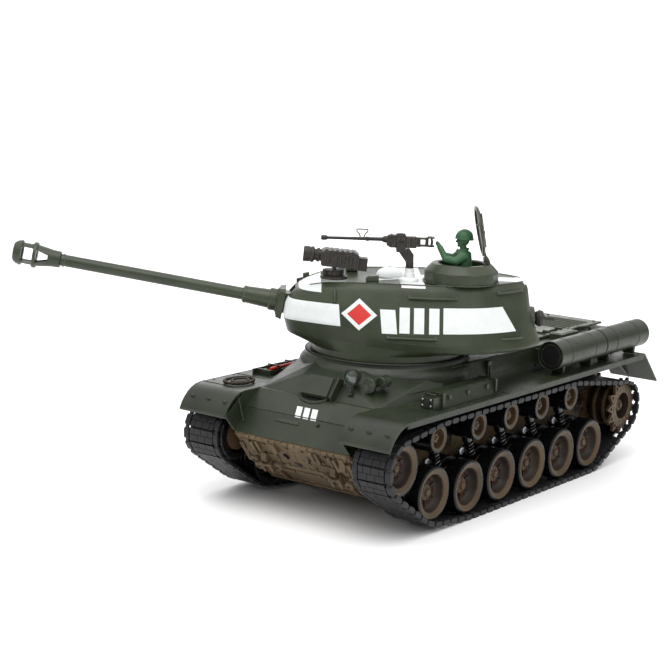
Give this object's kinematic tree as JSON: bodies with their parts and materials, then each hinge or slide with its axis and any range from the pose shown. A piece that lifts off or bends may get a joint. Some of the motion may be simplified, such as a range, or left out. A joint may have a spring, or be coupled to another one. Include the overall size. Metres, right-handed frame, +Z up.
{
  "type": "radio controlled toy tank",
  "caption": "Radio controlled toy tank with a traversing turret, a raised main gun, a roof machine gun, a hatch figure and tracks on spinning wheels.",
  "frame": {"origin": "centre of the bounding box, on the ground under the tracks", "axes": "+X forward along the hull, +Y to the tank's left, +Z up"},
  "size_m": [0.3824, 0.2808, 0.1927],
  "materials": {
    "hull_green": "semi-gloss",
    "brown_casting": "matte",
    "track_black": "matte",
    "weapon_black": "satin",
    "figure_green": "matte",
    "circuit_green": "satin",
    "bare_steel": "satin"
  },
  "bodies": {
    "chassis": {"lower_hull": "brown_casting", "upper_hull": "hull_green", "engine_deck": "hull_green", "driver_visor": "hull_green", "headlight": "hull_green", "horn": "hull_green", "stowage_box": "hull_green", "tow_cable": "weapon_black", "battery_pack": "bare_steel", "battery_cover": "weapon_black", "control_board": "circuit_green", "turret_motor": "bare_steel", "gearbox_left": "bare_steel", "gearbox_right": "bare_steel", "track_left": "track_black", "track_right": "track_black", "fuel_drum_left_front": "hull_green", "fuel_drum_left_rear": "hull_green", "fuel_drum_right_front": "hull_green", "fuel_drum_right_rear": "hull_green"},
    "turret": {"turret_shell": "hull_green", "cupola": "hull_green", "crew_figure": "figure_green", "rear_machine_gun": "weapon_black", "elevation_motor": "bare_steel"},
    "main_gun": {"gun_mantlet": "hull_green", "gun_barrel": "hull_green", "muzzle_brake": "hull_green"},
    "cupola_hatch_body": {"cupola_hatch": "hull_green"},
    "mg_cradle_body": {"mg_cradle": "weapon_black"},
    "machine_gun_body": {"machine_gun": "weapon_black"},
    "searchlight_base_body": {"searchlight_base": "weapon_black"},
    "searchlight_body_body": {"searchlight_body": "weapon_black"},
    "power_switch_body": {"power_switch": "weapon_black"},
    "drive_sprocket_left_body": {"drive_sprocket_left": "brown_casting"},
    "road_wheel_left_1_body": {"road_wheel_left_1": "brown_casting"},
    "road_wheel_left_2_body": {"road_wheel_left_2": "brown_casting"},
    "road_wheel_left_3_body": {"road_wheel_left_3": "brown_casting"},
    "road_wheel_left_4_body": {"road_wheel_left_4": "brown_casting"},
    "road_wheel_left_5_body": {"road_wheel_left_5": "brown_casting"},
    "road_wheel_left_6_body": {"road_wheel_left_6": "brown_casting"},
    "return_roller_left_1_body": {"return_roller_left_1": "brown_casting"},
    "return_roller_left_2_body": {"return_roller_left_2": "brown_casting"},
    "return_roller_left_3_body": {"return_roller_left_3": "brown_casting"},
    "return_roller_left_4_body": {"return_roller_left_4": "brown_casting"},
    "return_roller_left_5_body": {"return_roller_left_5": "brown_casting"},
    "idler_left_body": {"idler_left": "brown_casting"},
    "drive_sprocket_right_body": {"drive_sprocket_right": "brown_casting"},
    "road_wheel_right_1_body": {"road_wheel_right_1": "brown_casting"},
    "road_wheel_right_2_body": {"road_wheel_right_2": "brown_casting"},
    "road_wheel_right_3_body": {"road_wheel_right_3": "brown_casting"},
    "road_wheel_right_4_body": {"road_wheel_right_4": "brown_casting"},
    "road_wheel_right_5_body": {"road_wheel_right_5": "brown_casting"},
    "road_wheel_right_6_body": {"road_wheel_right_6": "brown_casting"},
    "return_roller_right_1_body": {"return_roller_right_1": "brown_casting"},
    "return_roller_right_2_body": {"return_roller_right_2": "brown_casting"},
    "return_roller_right_3_body": {"return_roller_right_3": "brown_casting"},
    "return_roller_right_4_body": {"return_roller_right_4": "brown_casting"},
    "return_roller_right_5_body": {"return_roller_right_5": "brown_casting"},
    "idler_right_body": {"idler_right": "brown_casting"}
  },
  "joints": [
    {"name": "drive_sprocket_left_spin", "type": "hinge", "parent": "chassis", "child": "drive_sprocket_left_body", "pos_m": [-0.14993, 0.11782, 0.0395], "axis": [0, 1, 0], "continuous": true},
    {"name": "road_wheel_left_1_spin", "type": "hinge", "parent": "chassis", "child": "road_wheel_left_1_body", "pos_m": [0.09057, 0.11782, 0.0236], "axis": [0, 1, 0], "continuous": true},
    {"name": "road_wheel_left_2_spin", "type": "hinge", "parent": "chassis", "child": "road_wheel_left_2_body", "pos_m": [0.05087, 0.11782, 0.02], "axis": [0, 1, 0], "continuous": true},
    {"name": "road_wheel_left_3_spin", "type": "hinge", "parent": "chassis", "child": "road_wheel_left_3_body", "pos_m": [0.01227, 0.11782, 0.02], "axis": [0, 1, 0], "continuous": true},
    {"name": "road_wheel_left_4_spin", "type": "hinge", "parent": "chassis", "child": "road_wheel_left_4_body", "pos_m": [-0.02633, 0.11782, 0.02], "axis": [0, 1, 0], "continuous": true},
    {"name": "road_wheel_left_5_spin", "type": "hinge", "parent": "chassis", "child": "road_wheel_left_5_body", "pos_m": [-0.06493, 0.11782, 0.02], "axis": [0, 1, 0], "continuous": true},
    {"name": "road_wheel_left_6_spin", "type": "hinge", "parent": "chassis", "child": "road_wheel_left_6_body", "pos_m": [-0.10353, 0.11782, 0.02], "axis": [0, 1, 0], "continuous": true},
    {"name": "return_roller_left_1_spin", "type": "hinge", "parent": "chassis", "child": "return_roller_left_1_body", "pos_m": [0.08727, 0.11782, 0.0578], "axis": [0, 1, 0], "continuous": true},
    {"name": "return_roller_left_2_spin", "type": "hinge", "parent": "chassis", "child": "return_roller_left_2_body", "pos_m": [0.04157, 0.11782, 0.0578], "axis": [0, 1, 0], "continuous": true},
    {"name": "return_roller_left_3_spin", "type": "hinge", "parent": "chassis", "child": "return_roller_left_3_body", "pos_m": [0.00297, 0.11782, 0.0578], "axis": [0, 1, 0], "continuous": true},
    {"name": "return_roller_left_4_spin", "type": "hinge", "parent": "chassis", "child": "return_roller_left_4_body", "pos_m": [-0.03603, 0.11782, 0.0578], "axis": [0, 1, 0], "continuous": true},
    {"name": "return_roller_left_5_spin", "type": "hinge", "parent": "chassis", "child": "return_roller_left_5_body", "pos_m": [-0.07463, 0.11782, 0.0578], "axis": [0, 1, 0], "continuous": true},
    {"name": "idler_left_spin", "type": "hinge", "parent": "chassis", "child": "idler_left_body", "pos_m": [0.12557, 0.11782, 0.0454], "axis": [0, 1, 0], "continuous": true},
    {"name": "drive_sprocket_right_spin", "type": "hinge", "parent": "chassis", "child": "drive_sprocket_right_body", "pos_m": [-0.14993, -0.00918, 0.0395], "axis": [0, 1, 0], "continuous": true},
    {"name": "road_wheel_right_1_spin", "type": "hinge", "parent": "chassis", "child": "road_wheel_right_1_body", "pos_m": [0.09057, -0.00918, 0.0236], "axis": [0, 1, 0], "continuous": true},
    {"name": "road_wheel_right_2_spin", "type": "hinge", "parent": "chassis", "child": "road_wheel_right_2_body", "pos_m": [0.05087, -0.00918, 0.02], "axis": [0, 1, 0], "continuous": true},
    {"name": "road_wheel_right_3_spin", "type": "hinge", "parent": "chassis", "child": "road_wheel_right_3_body", "pos_m": [0.01227, -0.00918, 0.02], "axis": [0, 1, 0], "continuous": true},
    {"name": "road_wheel_right_4_spin", "type": "hinge", "parent": "chassis", "child": "road_wheel_right_4_body", "pos_m": [-0.02633, -0.00918, 0.02], "axis": [0, 1, 0], "continuous": true},
    {"name": "road_wheel_right_5_spin", "type": "hinge", "parent": "chassis", "child": "road_wheel_right_5_body", "pos_m": [-0.06493, -0.00918, 0.02], "axis": [0, 1, 0], "continuous": true},
    {"name": "road_wheel_right_6_spin", "type": "hinge", "parent": "chassis", "child": "road_wheel_right_6_body", "pos_m": [-0.10353, -0.00918, 0.02], "axis": [0, 1, 0], "continuous": true},
    {"name": "return_roller_right_1_spin", "type": "hinge", "parent": "chassis", "child": "return_roller_right_1_body", "pos_m": [0.08727, -0.00918, 0.0578], "axis": [0, 1, 0], "continuous": true},
    {"name": "return_roller_right_2_spin", "type": "hinge", "parent": "chassis", "child": "return_roller_right_2_body", "pos_m": [0.04157, -0.00918, 0.0578], "axis": [0, 1, 0], "continuous": true},
    {"name": "return_roller_right_3_spin", "type": "hinge", "parent": "chassis", "child": "return_roller_right_3_body", "pos_m": [0.00297, -0.00918, 0.0578], "axis": [0, 1, 0], "continuous": true},
    {"name": "return_roller_right_4_spin", "type": "hinge", "parent": "chassis", "child": "return_roller_right_4_body", "pos_m": [-0.03603, -0.00918, 0.0578], "axis": [0, 1, 0], "continuous": true},
    {"name": "return_roller_right_5_spin", "type": "hinge", "parent": "chassis", "child": "return_roller_right_5_body", "pos_m": [-0.07463, -0.00918, 0.0578], "axis": [0, 1, 0], "continuous": true},
    {"name": "idler_right_spin", "type": "hinge", "parent": "chassis", "child": "idler_right_body", "pos_m": [0.12557, -0.00918, 0.0454], "axis": [0, 1, 0], "continuous": true},
    {"name": "turret_traverse", "type": "hinge", "parent": "chassis", "child": "turret", "pos_m": [0.03727, 0.05432, 0.0981], "axis": [0, 0, 1], "range_deg": [-108, 212]},
    {"name": "gun_elevation", "type": "hinge", "parent": "turret", "child": "main_gun", "pos_m": [0.06682, 0.0165, 0.122], "axis": [-0.788, -0.6157, 0], "range_deg": [-12, 11]},
    {"name": "hatch_hinge", "type": "hinge", "parent": "turret", "child": "cupola_hatch_body", "pos_m": [0.01385, 0.11191, 0.1595], "axis": [-0.788, -0.6157, 0], "range_deg": [-8, 42]},
    {"name": "mg_swivel", "type": "hinge", "parent": "turret", "child": "mg_cradle_body", "pos_m": [0.04535, 0.07484, 0.1531], "axis": [0, 0, 1], "range_deg": [-75, 75]},
    {"name": "mg_pitch", "type": "hinge", "parent": "mg_cradle_body", "child": "machine_gun_body", "pos_m": [0.04917, 0.06996, 0.1671], "axis": [-0.788, -0.6157, 0], "range_deg": [-1, 8]},
    {"name": "searchlight_swivel", "type": "hinge", "parent": "turret", "child": "searchlight_base_body", "pos_m": [0.07556, 0.03779, 0.1471], "axis": [0, 0, 1], "range_deg": [-90, 90]},
    {"name": "searchlight_tilt", "type": "hinge", "parent": "searchlight_base_body", "child": "searchlight_body_body", "pos_m": [0.07556, 0.03779, 0.1519], "axis": [-0.788, -0.6157, 0], "range_deg": [-6, 3]},
    {"name": "power_switch_slide", "type": "slide", "parent": "chassis", "child": "power_switch_body", "axis": [1, 0, 0], "range_m": [0, 0.004]}
  ],
  "couplings": [
    {"joint": "road_wheel_left_1_spin", "follows": "drive_sprocket_left_spin", "ratio": 1.0511},
    {"joint": "road_wheel_left_2_spin", "follows": "drive_sprocket_left_spin", "ratio": 1.0511},
    {"joint": "road_wheel_left_3_spin", "follows": "drive_sprocket_left_spin", "ratio": 1.0511},
    {"joint": "road_wheel_left_4_spin", "follows": "drive_sprocket_left_spin", "ratio": 1.0511},
    {"joint": "road_wheel_left_5_spin", "follows": "drive_sprocket_left_spin", "ratio": 1.0511},
    {"joint": "road_wheel_left_6_spin", "follows": "drive_sprocket_left_spin", "ratio": 1.0511},
    {"joint": "return_roller_left_1_spin", "follows": "drive_sprocket_left_spin", "ratio": 1.9892},
    {"joint": "return_roller_left_2_spin", "follows": "drive_sprocket_left_spin", "ratio": 1.9892},
    {"joint": "return_roller_left_3_spin", "follows": "drive_sprocket_left_spin", "ratio": 1.9892},
    {"joint": "return_roller_left_4_spin", "follows": "drive_sprocket_left_spin", "ratio": 1.9892},
    {"joint": "return_roller_left_5_spin", "follows": "drive_sprocket_left_spin", "ratio": 1.9892},
    {"joint": "idler_left_spin", "follows": "drive_sprocket_left_spin", "ratio": 1.1012},
    {"joint": "road_wheel_right_1_spin", "follows": "drive_sprocket_right_spin", "ratio": 1.0511},
    {"joint": "road_wheel_right_2_spin", "follows": "drive_sprocket_right_spin", "ratio": 1.0511},
    {"joint": "road_wheel_right_3_spin", "follows": "drive_sprocket_right_spin", "ratio": 1.0511},
    {"joint": "road_wheel_right_4_spin", "follows": "drive_sprocket_right_spin", "ratio": 1.0511},
    {"joint": "road_wheel_right_5_spin", "follows": "drive_sprocket_right_spin", "ratio": 1.0511},
    {"joint": "road_wheel_right_6_spin", "follows": "drive_sprocket_right_spin", "ratio": 1.0511},
    {"joint": "return_roller_right_1_spin", "follows": "drive_sprocket_right_spin", "ratio": 1.9892},
    {"joint": "return_roller_right_2_spin", "follows": "drive_sprocket_right_spin", "ratio": 1.9892},
    {"joint": "return_roller_right_3_spin", "follows": "drive_sprocket_right_spin", "ratio": 1.9892},
    {"joint": "return_roller_right_4_spin", "follows": "drive_sprocket_right_spin", "ratio": 1.9892},
    {"joint": "return_roller_right_5_spin", "follows": "drive_sprocket_right_spin", "ratio": 1.9892},
    {"joint": "idler_right_spin", "follows": "drive_sprocket_right_spin", "ratio": 1.1012}
  ]
}
